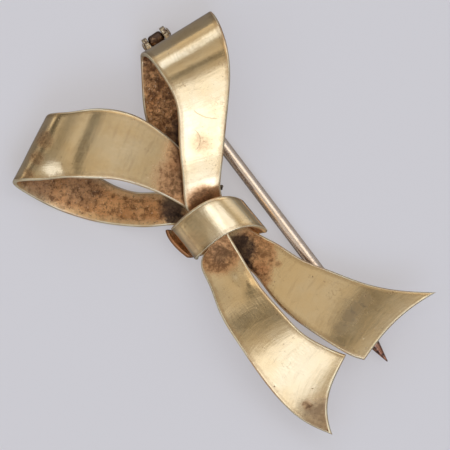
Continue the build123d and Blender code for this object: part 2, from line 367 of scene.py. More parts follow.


# A spot that has gone to copper, with a brown crust of a strength of its own, and a darkened spot, which
# stands for dirt in some places and for painted shadow and painted dark reflection in others. Its place
# beside the knot, its reach and its soft rim are in millimetres.
Worn = namedtuple("Worn", "x y reach soft strength crust")
SootAndShade = namedtuple("SootAndShade", "x y reach soft strength")

# A scratch along an arc beside the knot: the arc's centre and radius, and the middle and half the
# length of the stretch that shows, in millimetres.
Scratch = namedtuple("Scratch", "x y radius middle_x middle_y half_long")


def stain(colour, rough, place, worn, soot_and_shade):
    """Lays worn spots, and darkened spots of dirt and of painted shade, over a colour and a roughness."""
    grit = ragged(place)
    for spot in worn:
        patch = place.near(spot.x, spot.y, spot.reach, spot.soft)
        tint = (patch + grit * 0.8).step(0.1, 0.95)
        crust = (patch + grit * 2.2).step(0.65, 1.25)
        colour = (tint * (0.85 * spot.strength)).blend(colour, copper)
        colour = (crust * (0.85 * spot.crust)).blend(colour, crust_brown)
        rough = rough + tint * (0.22 * spot.strength) + crust * (0.12 * spot.crust)
    # darkened spots: dirt, and also painted shadow and painted dark reflection
    for spot in soot_and_shade:
        dirt_and_shade = (place.near(spot.x, spot.y, spot.reach, spot.soft) + grit * 1.3).step(0.15, 0.95)
        colour = (dirt_and_shade * spot.strength).blend(colour, soot_and_shade_brown)
        rough = rough + dirt_and_shade * (0.3 * spot.strength)
    return colour, rough


def polished_gold(name, pits, worn, soot_and_shade=(), scratches=()):
    """Polished rolled gold over copper, with stains, darkened spots of dirt and painted shade, pits, veins
    and scratches.

    pits is how thick the pits stand, from 0 to 1. Film gathers along the long edges.
    """
    made, shader, place = skin(name)
    lay = lay_on_strip(place)
    rim = 1 - from_edge(lay).step(0.05, 0.75)
    cloud = place.mottle(200, 5, 0.6)
    colour = cloud.step(0.35, 0.68).blend(pale_gold, warm_gold)
    grit = ragged(place)
    film = place.mottle(430, 6, 0.68).step(0.50, 0.80) * 0.30 + (rim + grit * 1.4).step(0.3, 1.0) * 0.45
    colour = film.blend(colour, film_brown)
    specks = place.mottle(3000, 3, 0.6).step(0.66, 0.72) * cloud.step(0.4, 0.6)
    colour = (specks * 0.6).blend(colour, crust_brown)
    rough = 0.12 + place.mottle(600, 5, 0.7) * 0.11 + film * 0.15
    colour, rough = stain(colour, rough, place, worn, soot_and_shade)
    cells = {"Vector": place, "Scale": 560, "Randomness": 1.0}
    depth = place.add("ShaderNodeTexVoronoi", {"voronoi_dimensions": "2D"}, cells, "Distance")
    chance = place.add("ShaderNodeTexVoronoi", {"voronoi_dimensions": "2D"}, cells, "Color")
    red, green = [chance.add("ShaderNodeSeparateColor", {}, {0: chance}, part) for part in (0, 1)]
    chosen = red.step(1 - pits * 0.35, 1 - pits * 0.3) * (green * 0.8 + 0.2)
    pit = (1 - (depth + grit * 0.10).step(0.0, 0.02 + 0.05 * chosen)) * chosen
    veins = place.mottle(430, 3, 0.65)
    veins = 1 - (veins - 0.5).unsigned().step(0.002, 0.010)
    veins = veins * place.mottle(260, 3, 0.6).step(0.52, 0.60)
    colour = (veins * 0.4).blend(colour, film_brown)
    colour = (pit * 0.75).blend(colour, crust_brown)
    rough = rough + pit * 0.3
    hairs = lay.add("ShaderNodeMapping", {}, {0: lay, "Rotation": (0, 0, 0.25), "Scale": (0.25, 7, 7)})
    scratch = hairs.mottle(1.2, 3, 0.7).step(0.66, 0.72) * 0.5
    for line in scratches:
        off = (place.from_spot(line.x, line.y) - line.radius * mm + grit * (0.16 * mm)).unsigned()
        stretch = place.near(line.middle_x, line.middle_y, line.half_long, 0.3)
        mark = (1 - off.step(0.02 * mm, 0.07 * mm)) * stretch
        colour = (mark * 0.7).blend(colour, film_brown)
        scratch = scratch + mark
    ripples = lay.add("ShaderNodeMapping", {}, {0: lay, "Scale": (0.6, 3.2, 3.2)}).mottle(1.0, 4, 0.6)
    bands = lay.add("ShaderNodeMapping", {}, {0: lay, "Scale": (2.0, 0.22, 0.22)}).mottle(1.0, 4, 0.6)
    colour = (bands.step(0.52, 0.72) * 0.22).blend(colour, film_brown)
    normal = relief(place.mottle(1500, 4, 0.6), 0.006 * mm)
    normal = relief(ripples, 0.007 * mm, under=normal)
    normal = relief(bands, 0.012 * mm, under=normal)
    normal = relief(1 - pit, 0.02 * mm, under=normal)
    normal = relief(1 - scratch, 0.003 * mm, 0.6, normal)
    fix(shader, Base_Color=colour, Metallic=1.0, Roughness=rough, Normal=normal)
    return made


def raw_copper(name, dark, soot_and_shade):
    """The unfinished side of the sheet: brown copper under a close crust, paler along its edges, where it
    is rubbed and where a highlight is painted.

    dark is from 0 to 1, for how close and dark the crust is.
    """
    made, shader, place = skin(name)
    # paler along the edges: rubbed metal, and a painted highlight along the rims
    rim = 1 - (from_edge(lay_on_strip(place)) + ragged(place)).step(0.0, 0.9)
    rubbed_and_highlit = rim * (0.7 - dark * 0.5)
    tone = place.mottle(380, 5, 0.6).step(0.3, 0.7)
    colour = tone.blend((0.82, 0.42, 0.17, 1), (0.62, 0.265, 0.09, 1))
    colour = rubbed_and_highlit.blend(colour, (0.88, 0.58, 0.28, 1))
    crust = place.mottle(1500, 6, 0.78)
    mask = crust.step(0.44 - dark * 0.08, 0.66 - dark * 0.08) * (1 - rubbed_and_highlit)
    colour = (mask * 0.92).blend(colour, crust_brown)
    specks = place.mottle(3600, 4, 0.65).step(0.56 - dark * 0.06, 0.70 - dark * 0.06)
    colour = (specks * 0.75).blend(colour, (0.09, 0.038, 0.018, 1))
    # painted glints: small bright flecks in the colour
    painted_glint = place.mottle(4600, 2, 0.5).step(0.62, 0.74)
    colour = (painted_glint * 0.6).blend(colour, (0.92, 0.60, 0.34, 1))
    colour, rough = stain(colour, 0.36 + mask * 0.2, place, (), soot_and_shade)
    normal = relief(1 - crust, 0.07 * mm, 0.7)
    fix(shader, Base_Color=colour, Metallic=0.9, Roughness=rough, Normal=normal)
    return made


def rubbed_edge(name, copper_from=None):
    """The cut edge of the sheet, rubbed bright, or brown copper from this many millimetres along."""
    made, shader, place = skin(name)
    tone = place.mottle(700, 4).step(0.4, 0.75)
    colour = tone.blend((0.97, 0.80, 0.52, 1), (0.86, 0.62, 0.34, 1))
    colour = (place.mottle(170, 4, 0.6).step(0.50, 0.66) * 0.6).blend(colour, (0.84, 0.46, 0.22, 1))
    if copper_from is not None:
        lay = lay_on_strip(place)
        along = lay.add("ShaderNodeSeparateXYZ", {}, {0: lay}, "X")
        colour = along.step(copper_from - 0.6, copper_from).blend(colour, (0.50, 0.23, 0.10, 1))
    rough = 0.38 + place.mottle(1500, 3) * 0.12
    fix(shader, Base_Color=colour, Metallic=1.0, Roughness=rough)
    return made


inside = raw_copper("raw_copper", 0.0, [
    # painted shade: the inside darkened near the knot, where the strips over it shade it
    SootAndShade(-4.6, 2.0, 0.5, 1.8, 0.85),
    SootAndShade(-4.2, 0.6, 0.3, 1.4, 0.70),
    SootAndShade(-18.0, 4.2, 0.5, 2.0, 0.40),
    SootAndShade(-13.6, 4.2, 0.6, 3.2, 0.35),
])
edges = rubbed_edge("rubbed_edge")
left_drop = knot_level(2) - sheet / 2  # lets the back strip down to the surface
left_ends = rulings(LEFT_BACK, left_heading, left_length, left_width, knot_level(2), left_drop)
left_ends += rulings(LEFT_FRONT, left_heading, left_length, left_width, knot_level(4), left_rise)
left_worn = [
    Worn(-3.8, 4.6, 1.0, 3.4, 1.0, 1.0),
    Worn(-3.8, 7.4, 0.4, 2.6, 0.8, 0.8),
    Worn(-17.4, 8.8, 0.3, 1.2, 0.5, 0.7),
    Worn(-18.2, 7.0, 0.2, 1.1, 0.5, 0.8),
    Worn(-19.0, 5.4, 0.1, 0.9, 0.5, 0.8),
]
left_sooty = [
    SootAndShade(-17.2, 9.6, 0.1, 1.1, 0.20),
    SootAndShade(-18.0, 7.8, 0.1, 1.0, 0.22),
    SootAndShade(-18.9, 6.0, 0.1, 1.0, 0.22),
    SootAndShade(-4.2, 5.2, 1.0, 2.6, 0.20),
]
left_dents = [Dent(-17.0, 4.5, 0.46, 1.8)]
left_gold = polished_gold("left_loop_gold", 0.8, left_worn, left_sooty)
left_loop = ribbon("left_loop_ribbon", left_ends, 1, (left_gold, inside, edges), dents=left_dents)
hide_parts("left_loop")
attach(left_loop, "bow")

# Upper loop
# A second length of the same sheet, bent over towards the top, a little wider and set on edge so
# that its dark inside shows at the left. Its foot is worn to copper where it enters the knot.
upper_heading = 101.5
upper_length = 20.0 * mm
upper_width = 7.7 * mm
upper_rise = 4.1 * mm
upper_drop = 0.42 * mm
UPPER_BACK = [
    Ruling(0.01, -0.20, 0.01, 0.22, 0.00, 0.00),
    Ruling(0.14, -0.30, 0.14, 0.10, -0.10, -0.10),
    Ruling(0.25, -0.40, 0.25, 0.14, -0.30, -0.30),
    Ruling(0.40, -0.53, 0.40, 0.25, -0.75, -0.75),
    Ruling(0.60, -0.65, 0.61, 0.40, -1.00, -1.00),
    Ruling(0.73, -0.63, 0.78, 0.50, -1.00, -1.00),
    Ruling(0.83, -0.59, 0.93, 0.53, -0.90, -0.90),
]
UPPER_FRONT = [
    Ruling(0.90, -0.56, 1.01, 0.52, -0.26, -0.26),
    Ruling(0.92, -0.53, 1.06, 0.47, 0.18, 0.18),
    Ruling(0.91, -0.48, 1.04, 0.50, 0.52, 0.52),
    Ruling(0.87, -0.41, 0.99, 0.54, 0.80, 0.80),
    Ruling(0.80, -0.33, 0.90, 0.57, 0.98, 0.98),
    Ruling(0.71, -0.25, 0.79, 0.56, 0.97, 0.97),
    Ruling(0.60, -0.23, 0.65, 0.48, 0.83, 0.83),
    Ruling(0.48, -0.28, 0.50, 0.36, 0.61, 0.61),
    Ruling(0.35, -0.32, 0.36, 0.25, 0.38, 0.38),
    Ruling(0.24, -0.35, 0.24, 0.15, 0.24, 0.24),
    Ruling(0.12, -0.36, 0.16, 0.12, 0.08, 0.08),
    Ruling(0.06, -0.25, 0.07, 0.14, 0.01, 0.01),
    Ruling(-0.01, -0.19, 0.00, 0.17, 0.00, 0.00),
]
upper_ends = rulings(UPPER_BACK, upper_heading, upper_length, upper_width, knot_level(3), upper_drop)
upper_ends += rulings(UPPER_FRONT, upper_heading, upper_length, upper_width, knot_level(5), upper_rise)
upper_worn = [
    Worn(-1.6, 2.6, 1.0, 1.5, 1.0, 0.8),
    Worn(0.3, 3.4, 0.3, 1.1, 0.9, 0.8),
    Worn(1.0, 3.2, 0.2, 1.2, 0.8, 0.8),
    Worn(-1.8, 8.4, 0.3, 1.6, 0.35, 0.3),
]
upper_sooty = [SootAndShade(-1.6, 2.7, 0.6, 1.4, 0.2)]
upper_scratches = [
    Scratch(-0.35, 14.1, 3.2, -1.4, 11.1, 1.1),
    Scratch(-3.0, 8.75, 1.15, -1.9, 8.8, 0.9),
]
upper_gold = polished_gold("upper_loop_gold", 0.4, upper_worn, upper_sooty, upper_scratches)
upper_inside = raw_copper("raw_copper_dark", 1.0, [SootAndShade(-3.4, 9.6, 0.6, 2.2, 0.7)])
upper_loop = ribbon("upper_loop_ribbon", upper_ends, 1, (upper_gold, upper_inside, edges))
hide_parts("upper_loop")
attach(upper_loop, "bow")

# Hinge
# A small plate of base metal soldered under the upper loop's back strip, with two ears that stand down
# from it and hold the rivet. It is brass under patches of dark brown grime, its colour and grime darkened
# further as painted shade for its place under the loop.
hinge_heading = 33.9  # of the rivet, in degrees
ear_radius = 0.8 * mm
ear_thickness = 0.55 * mm
ear_reach = 1.3 * mm  # from the rivet towards the knot
plate_start = 0.75 * mm
plate_end = 4.2 * mm
plate_floor = 0.74 * mm  # above the rivet, clear of the pin's knuckle
corner_round = 0.12 * mm
knuckle_length = 1.5 * mm
fit = 0.04 * mm  # air beside the knuckle
hinge = Vector(joint["pos_m"])
rivet_way = direction(hinge_heading)
inward = direction(hinge_heading - 90)
upward = Vector((0, 0, 1))


def slab(name, outline, start, depth, metal):
    """A plate with rounded corners, its outline square to the rivet and its thickness along it."""
    middle = hinge + rivet_way * start
    flat = [middle + inward * x + upward * y for x, y in outline]
    corners = flat + [corner + rivet_way * depth for corner in flat]
    count = len(flat)
    faces = [list(range(count)), list(range(2 * count - 1, count - 1, -1))]
    for i in range(count):
        beside = (i + 1) % count
        faces.append([beside, i, count + i, count + beside])
    piece = smooth_piece(name, corners, faces, [metal])
    rounding = piece.modifiers.new("rounding", "BEVEL")
    rounding.width = corner_round
    rounding.segments = 3
    rounding.limit_method = "ANGLE"
    rounding.angle_limit = radians(35)
    rounding.harden_normals = True
    return piece


def grimy_metal(name, clean, grime, share, rough=0.3):
    """Plain metal of one colour under uneven grime, which covers about this share of it."""
    made, shader, place = skin(name)
    tone = place.mottle(600, 4).step(0.3, 0.7)
    colour = (tone * 0.35).blend(clean, film_brown)
    cover = place.mottle(1500, 6, 0.68).step(0.62 - share * 0.3, 0.72 - share * 0.3)
    colour = (cover * 0.9).blend(colour, grime)
    normal = relief(place.mottle(2600, 4, 0.6), 0.02 * mm)
    fix(shader, Base_Color=colour, Metallic=0.9, Roughness=rough + cover * 0.25, Normal=normal)
    return made


# painted shade: brass colour and grime darkened for the shade under the loop; the catch wears it too
shaded_brass = grimy_metal("hinge_brass_shaded", clean=(0.76, 0.58, 0.36, 1), grime=(0.17, 0.09, 0.05, 1), share=0.3)
seat = knot_level(3) - upper_drop - hinge.z  # the middle of the loop's sheet, above the rivet
half_width = knuckle_length / 2 + fit + ear_thickness
plate_outline = [(plate_start, plate_floor), (plate_end, plate_floor)]
plate_outline += [(plate_end, seat), (plate_start, seat)]
plate = slab("hinge_plate", plate_outline, -half_width, 2 * half_width, shaded_brass)
ear_outline = [(ear_reach, -ear_radius), (ear_reach, seat), (0.0, seat)]
for turn in range(90, 271, 12):
    ear_outline.append((ear_radius * cos(radians(turn)), ear_radius * sin(radians(turn))))
ears = [
    slab("hinge_ear_left", ear_outline, -half_width, ear_thickness, shaded_brass),
    slab("hinge_ear_right", ear_outline, half_width - ear_thickness, ear_thickness, shaded_brass),
]
for piece in [plate] + ears:
    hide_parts("upper_loop")
    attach(piece, "bow")

# Lower tail
# The free end of a ribbon that lies on top in the knot. It swells in width, sinks towards its end and
# is cut hollow there. Its root is worn to copper under the knot's mouth.
low_heading = -56.0
low_length = 23.4 * mm
low_width = 8.3 * mm
low_fall = 2.7 * mm
low_hollow = 0.92 * mm
LOWER_TAIL = [
    Ruling(-0.04, -0.16, -0.04, 0.16, 0.00, 0.01),
    Ruling(0.03, -0.07, 0.03, 0.18, 0.00, -0.12),
    Ruling(0.08, -0.05, 0.06, 0.35, -0.04, -0.28),
    Ruling(0.20, -0.03, 0.17, 0.48, -0.05, -0.22),
    Ruling(0.30, -0.02, 0.29, 0.56, 0.04, 0.05),
    Ruling(0.43, -0.06, 0.44, 0.59, 0.12, 0.11),
    Ruling(0.56, -0.12, 0.60, 0.59, 0.06, -0.08),
    Ruling(0.65, -0.23, 0.77, 0.55, -0.15, -0.48),
    Ruling(0.71, -0.33, 0.90, 0.44, -0.28, -0.61),
    Ruling(0.75, -0.41, 1.00, 0.27, -0.32, -0.58),
]
low_ends = rulings(LOWER_TAIL, low_heading, low_length, low_width, knot_level(6), low_fall)
low_worn = [
    Worn(0.0, -2.3, 1.5, 1.7, 1.0, 0.9),
    Worn(10.6, -18.6, 0.6, 3.0, 0.35, 0.5),
    Worn(8.8, -17.7, 0.1, 0.8, 0.5, 1.0),
    Worn(11.2, -20.2, 0.1, 0.9, 0.5, 1.0),
]
low_sooty = [
    SootAndShade(0.2, -2.6, 0.3, 1.4, 0.35),
    SootAndShade(10.6, -19.4, 1.7, 1.5, 0.32),
    SootAndShade(8.6, -17.9, 0.3, 1.3, 0.25),
]
low_dents = [  # raised, so they make a low ridge under the knot
    Dent(1.5, -3.7, -0.05, 0.9),
    Dent(2.15, -4.6, -0.17, 0.8),
    Dent(2.85, -5.5, -0.16, 0.85),
]
low_gold = polished_gold("lower_tail_gold", 0.6, low_worn, low_sooty)
lower_tail = ribbon("lower_tail_ribbon", low_ends, -1, (low_gold, inside, edges), low_hollow, low_dents)
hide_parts("lower_tail")
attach(lower_tail, "bow")

# Upper tail
# The other free end, lowest in the knot, rising towards its swallow cut so that the pin passes under it.
# Its root is worn to copper and darkened with painted shadow where the lower tail's edge lies over it, and
# a painted dark reflection crosses it near its crest.
high_heading = -34.0
high_length = 21.5 * mm
high_width = 9.7 * mm
high_rise = 1.9 * mm  # from the knot up to its crest
high_hollow = 0.78 * mm
UPPER_TAIL = [
    Ruling(-0.03, -0.17, -0.03, 0.15, 0.00, 0.00),
    Ruling(0.09, -0.18, 0.09, 0.16, 0.00, 0.00),
    Ruling(0.17, -0.18, 0.17, 0.18, 0.01, 0.01),
    Ruling(0.25, -0.20, 0.24, 0.19, 0.09, 0.09),
    Ruling(0.39, -0.21, 0.40, 0.30, 0.34, 0.34),
    Ruling(0.54, -0.28, 0.56, 0.35, 0.67, 0.67),
    Ruling(0.69, -0.36, 0.70, 0.35, 0.93, 0.93),
    Ruling(0.82, -0.47, 0.80, 0.34, 1.00, 0.98),
    Ruling(0.92, -0.59, 0.86, 0.32, 0.97, 0.95),
    Ruling(1.00, -0.70, 0.90, 0.29, 0.92, 0.92),
]
high_ends = rulings(UPPER_TAIL, high_heading, high_length, high_width, knot_level(1), high_rise)
high_worn = [
    Worn(3.2, -2.6, 1.8, 1.5, 1.0, 0.9),
    Worn(4.0, -4.8, 0.5, 1.6, 0.9, 0.8),
    Worn(5.9, -3.6, 0.1, 0.6, 0.5, 0.6),
]
high_soot_and_shade = [
    # painted shadow: the root darkened where the lower tail's edge lies over it
    SootAndShade(2.0, -2.2, 1.0, 1.4, 0.85),
    SootAndShade(2.7, -4.0, 0.2, 1.2, 0.80),
    # painted dark reflection: a dark band across the tail near its crest
    SootAndShade(13.3, -8.8, 0.2, 3.4, 0.15),
    SootAndShade(14.6, -7.1, 0.2, 1.1, 0.42),
    SootAndShade(13.8, -7.9, 0.2, 1.1, 0.40),
    SootAndShade(13.0, -8.9, 0.2, 1.2, 0.45),
    SootAndShade(12.2, -10.0, 0.2, 1.1, 0.40),
    SootAndShade(17.6, -8.2, 1.4, 2.4, 0.12),
]
high_gold = polished_gold("upper_tail_gold", 0.6, high_worn, high_soot_and_shade)
upper_tail = ribbon("upper_tail_ribbon", high_ends, -1, (high_gold, inside, edges), high_hollow)
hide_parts("upper_tail")
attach(upper_tail, "bow")

# Catch
# A short strip bent like a C and soldered by its foot under the upper tail. The pin's end lies in it,
# and its lip stops beside the pin so that the pin swings past it.
bend_from_hinge = 8.05 * mm  # to the stem's slight bend
tip_from_bend = 31.6 * mm
first_heading = -60.4  # of the stem between the hinge and its bend
stem_heading = -52.8  # from there to the point
stem_radius = 0.62 * mm
catch_setback = 5.9 * mm  # from the pin's point
catch_width = 1.6 * mm
catch_foot = 1.1 * mm  # from over the pin's middle, away from the upright wall
catch_bend = 0.5 * mm
lip_gap = 0.08 * mm  # air between the pin and the lip
throat = 0.6 * mm  # air between the pin and the upright wall
bend_point = hinge + direction(first_heading) * bend_from_hinge
stem_way = direction(stem_heading)
pin_tip = bend_point + stem_way * tip_from_bend


def rounded_path(corners, radius, steps=8):
    """Points along straight lines, with an arc at each inner corner."""
    points = [corners[0]]
    for before, corner, after in zip(corners, corners[1:], corners[2:]):
        back, on = (before - corner).normalized(), (after - corner).normalized()
        half = back.angle(on) / 2
        centre = corner + (back + on).normalized() * (radius / sin(half))
        first = corner + back * (radius / tan(half)) - centre
        last = corner + on * (radius / tan(half)) - centre
        for k in range(steps + 1):
            arm = first * (1 - k / steps) + last * (k / steps)
            points.append(centre + arm.normalized() * radius)
    return points + [corners[-1]]


def height_over(ends, spot):
    """Height of a strip's middle surface at a level spot, straight between its lines across."""
    for (low, high), (next_low, next_high) in zip(ends, ends[1:]):
        before = (high - low).to_2d().cross((spot - low).to_2d())
        after = (next_high - next_low).to_2d().cross((spot - next_low).to_2d())
        if before * after <= 0:
            share = abs(before) / (abs(before) + abs(after))
            return ((low + high) / 2).lerp((next_low + next_high) / 2, share).z
    return 0.0


catch_spot = pin_tip - stem_way * catch_setback
foot_height = height_over(high_ends, catch_spot) - sheet
outward = direction(stem_heading + 90)
leg = stem_radius + throat + sheet / 2
catch_corners = [(-catch_foot, foot_height), (leg, foot_height)]
catch_corners += [(leg, sheet / 2), (stem_radius + lip_gap, sheet / 2)]
base = Vector((catch_spot.x, catch_spot.y, 0))
catch_line = rounded_path([base + outward * x + upward * z for x, z in catch_corners], catch_bend)
catch_side = stem_way * (catch_width / 2)
catch_ends = [(spot - catch_side, spot + catch_side) for spot in catch_line]
catch = ribbon("catch_strip", catch_ends, 1, (shaded_brass, shaded_brass, shaded_brass), wave=0.0, columns=10, grain=0.1 * mm)
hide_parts("upper_tail")
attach(catch, "bow")

# Knot band
# A short strip of the same sheet bent round the bow's middle. Its front end lies inside its back end,
# which comes up round it at the left and shows there as a copper crescent.
knot_heading = 21.0
knot_axis = -50.3
knot_span = 7.8 * mm
knot_width = 4.0 * mm
knot_rise = 4.27 * mm
knot_lean = 1.35 * mm
knot_set_back = -0.27 * mm
knot_tilt = 0.43 * mm  # of the arch's edge at the tails, down
copper_end = 1.6  # millimetres of the back end's edges that have gone to copper
end_bulge = -0.45 * mm  # its back end is cut round
# A line across the band, at these shares of half its span, its rise, its lean and its width
Bend = namedtuple("Bend", "span rise lean width")
KNOT_BENDS = [
    Bend(-0.96, 0.18, 0.00, 1.00),
    Bend(-0.95, 0.35, 0.08, 1.00),
    Bend(-0.86, 0.55, 0.21, 1.00),
    Bend(-0.64, 0.76, 0.48, 1.00),
    Bend(-0.31, 0.90, 0.79, 1.00),
    Bend(0.05, 0.99, 0.99, 1.00),
    Bend(0.41, 0.98, 0.98, 1.00),
    Bend(0.70, 0.87, 0.72, 1.00),
    Bend(0.88, 0.65, 0.28, 1.00),
    Bend(0.93, 0.36, 0.05, 1.00),
    Bend(0.86, 0.09, -0.05, 0.90),
    Bend(0.66, 0.00, -0.10, 0.85),
    Bend(0.00, 0.00, -0.10, 0.85),
    Bend(-0.66, 0.00, -0.10, 0.85),
    Bend(-0.92, 0.02, -0.06, 0.85),
    Bend(-1.08, 0.06, 0.12, 0.90),
    Bend(-1.16, 0.12, 0.22, 0.90),
]
band_way, lean_way = direction(knot_heading), direction(knot_heading + 90)
band_ends = []
for bend in KNOT_BENDS:
    middle = Vector((knot.x, knot.y, knot_level(0) + bend.rise * knot_rise))
    middle += band_way * (bend.span * knot_span / 2)
    middle += lean_way * (knot_set_back + bend.lean * knot_lean)
    half_across = direction(knot_axis) * (bend.width * knot_width / 2)
    half_across.z = -knot_tilt * bend.rise
    band_ends.append((middle - half_across, middle + half_across))
knot_worn = [
    Worn(-5.8, -2.3, 1.2, 0.9, 1.0, 0.8),
    Worn(-2.6, -1.4, 0.2, 1.8, 0.2, 0.2),
]
knot_gold = polished_gold("knot_gold", 0.3, knot_worn)
band_middles = [(low + high) / 2 for low, high in band_ends]
band_run = sum((after - before).length for before, after in zip(band_middles, band_middles[1:])) / mm
band_edges = rubbed_edge("knot_band_edge", band_run - copper_end)
band_metals = (knot_gold, inside, band_edges)
knot_band = ribbon("knot_band_ribbon", band_ends, -1, band_metals, end_bulge, columns=20)
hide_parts("knot_band")
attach(knot_band, "bow")

# Rivet
# A short brass wire through the ears and the knuckle, with both ends hammered to low domes that
# hold it. It is grimy, as the ears are.
rivet_radius = 0.3 * mm
rivet_head_radius = 0.5 * mm
rivet_head = 0.2 * mm


def turned(name, profile, metal):
    """A piece turned round the rivet's axis, from a closed profile of (along, radius) in metres."""
    steps = 40
    count = len(profile)
    points = []
    for k in range(steps):
        turn = radians(360 * k / steps)
        arm = inward * cos(turn) + upward * sin(turn)
        points += [hinge + rivet_way * along + arm * radius for along, radius in profile]
    faces = []
    for k in range(steps):
        for j in range(count):
            row, after, beside = k * count, (k + 1) % steps * count, (j + 1) % count
            faces.append([row + j, after + j, after + beside, row + beside])
    return smooth_piece(name, points, faces, [metal])


def arc(along, radius, size, first, last):
    """Points of a quarter round on a profile, between two angles in degrees."""
    steps = 5
    turns = [radians(first + (last - first) * k / steps) for k in range(steps + 1)]
    return [(along + size * cos(turn), radius + size * sin(turn)) for turn in turns]


rivet_metal = grimy_metal("rivet_metal", (0.80, 0.60, 0.40, 1), (0.12, 0.07, 0.04, 1), 0.4)
rivet_half = half_width + fit
hair = 0.002 * mm  # radius left at the middle of a closed end
dome = [(rivet_half, rivet_radius)]
for turn in range(0, 91, 15):
    along = rivet_half + rivet_head * sin(radians(turn))
    dome.append((along, max(hair, rivet_head_radius * cos(radians(turn)))))
rivet_profile = dome + [(-along, radius) for along, radius in reversed(dome)]
rivet = turned("rivet", rivet_profile, rivet_metal)
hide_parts("hinge_rivet")
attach(rivet, "bow")

# Pin
# A round stem of paler metal, drawn to a point, with one slight bend near the hinge. It is soldered
# into a round knuckle, now nearly black, that turns on the rivet between the two ears.
knuckle_radius = 0.66 * mm
knuckle_bore = 0.34 * mm
knuckle_round = 0.31 * mm
bend_radius = 20.0 * mm
stem_start = 0.45 * mm  # from the rivet, inside the knuckle's wall
root_length = 0.3 * mm  # over which the stem widens to its thickness
root_share = 0.72  # of its thickness at the start
taper_length = 6.0 * mm
point_length = 2.1 * mm
point_share = 0.86  # of its thickness where the point begins
end_radius = 0.05 * mm
black = grimy_metal("knuckle_metal", (0.46, 0.26, 0.14, 1), (0.085, 0.045, 0.028, 1), 0.8, 0.2)
near_end = knuckle_length / 2 - knuckle_round
wide = knuckle_radius - knuckle_round
knuckle_profile = [(-knuckle_length / 2, knuckle_bore), (knuckle_length / 2, knuckle_bore)]
knuckle_profile += arc(near_end, wide, knuckle_round, 0, 90) + arc(-near_end, wide, knuckle_round, 90, 180)
knuckle = turned("pin_knuckle", knuckle_profile, black)


def grown(name, points, joined, tree, values):
    """A plain mesh of what a tree of geometry nodes grows on points, with its inputs set by name."""
    mesh = bpy.data.meshes.new(name + "_line")
    mesh.from_pydata(points, [(i, i + 1) for i in range(len(points) - 1)] if joined else [], [])
    seed = bpy.data.objects.new(name + "_line", mesh)
    bpy.context.collection.objects.link(seed)
    growing = seed.modifiers.new("growing", "NODES")
    growing.node_group = tree
    for entry in tree.interface.items_tree:
        if entry.item_type == "SOCKET" and entry.in_out == "INPUT" and entry.name in values:
            growing[entry.identifier] = values[entry.name]
    done = bpy.data.meshes.new_from_object(seed.evaluated_get(bpy.context.evaluated_depsgraph_get()))
    done.name = name
    bpy.data.objects.remove(seed)
    piece = bpy.data.objects.new(name, done)
    bpy.context.collection.objects.link(piece)
    return piece


def new_tree(name, inputs):
    """A tree of geometry nodes with named inputs, and a Paint for each of them."""
    tree = bpy.data.node_groups.new(name, "GeometryNodeTree")
    tree.interface.new_socket("Geometry", in_out="INPUT", socket_type="NodeSocketGeometry")
    for label, kind in inputs.items():
        tree.interface.new_socket(label, in_out="INPUT", socket_type=kind)
    tree.interface.new_socket("Geometry", in_out="OUTPUT", socket_type="NodeSocketGeometry")
    source = tree.nodes.new("NodeGroupInput")
    given = {label: Paint(tree, source.outputs[label]) for label in ["Geometry", *inputs]}
    return tree, given


def finish_tree(shape):
    """Ends a tree: real geometry, smooth, with the material that its input names."""
    real = shape.add("GeometryNodeRealizeInstances", {}, {0: shape})
    smooth = real.add("GeometryNodeSetShadeSmooth", {}, {"Geometry": real})
    source = [node for node in shape.tree.nodes if node.bl_idname == "NodeGroupInput"][0]
    metal = Paint(shape.tree, source.outputs["Material"])
    dressed = smooth.add("GeometryNodeSetMaterial", {}, {"Geometry": smooth, "Material": metal})
    dressed.add("NodeGroupOutput", {}, {0: dressed})


stem_tree, given = new_tree("pin stem", {
    "Radius": "NodeSocketFloat", "Root Length": "NodeSocketFloat", "Root Share": "NodeSocketFloat",
    "Taper Length": "NodeSocketFloat", "Point Length": "NodeSocketFloat",
    "Point Share": "NodeSocketFloat", "End Radius": "NodeSocketFloat", "Material": "NodeSocketMaterial",
})
line = given["Geometry"].add("GeometryNodeMeshToCurve", {}, {"Mesh": given["Geometry"]})
line = line.add("GeometryNodeResampleCurve", {}, {"Curve": line, "Count": 400})
run = line.add("GeometryNodeSplineParameter", out="Length")
total = line.add("GeometryNodeCurveLength", {}, {"Curve": line})
to_tip = total - run
shoulder = given["Radius"] * given["Point Share"]
point = to_tip.add("ShaderNodeMapRange", {}, {
    "Value": to_tip, "From Min": 0.0, "From Max": given["Point Length"],
    "To Min": given["End Radius"], "To Max": shoulder,
})
taper = to_tip.add("ShaderNodeMapRange", {}, {
    "Value": to_tip, "From Min": given["Point Length"], "From Max": given["Taper Length"],
    "To Min": 0.0, "To Max": given["Radius"] - shoulder,
})
opening = run.add("ShaderNodeMapRange", {"interpolation_type": "SMOOTHSTEP"}, {
    "Value": run, "From Min": 0.0, "From Max": given["Root Length"],
    "To Min": given["Root Share"], "To Max": 1.0,
})
hoop = line.add("GeometryNodeCurvePrimitiveCircle", {}, {"Resolution": 32, "Radius": 1.0})
wide_by = (point + taper) * opening
tube = line.add("GeometryNodeCurveToMesh", {}, {
    "Curve": line, "Profile Curve": hoop, "Scale": wide_by, "Fill Caps": True,
})
finish_tree(tube)

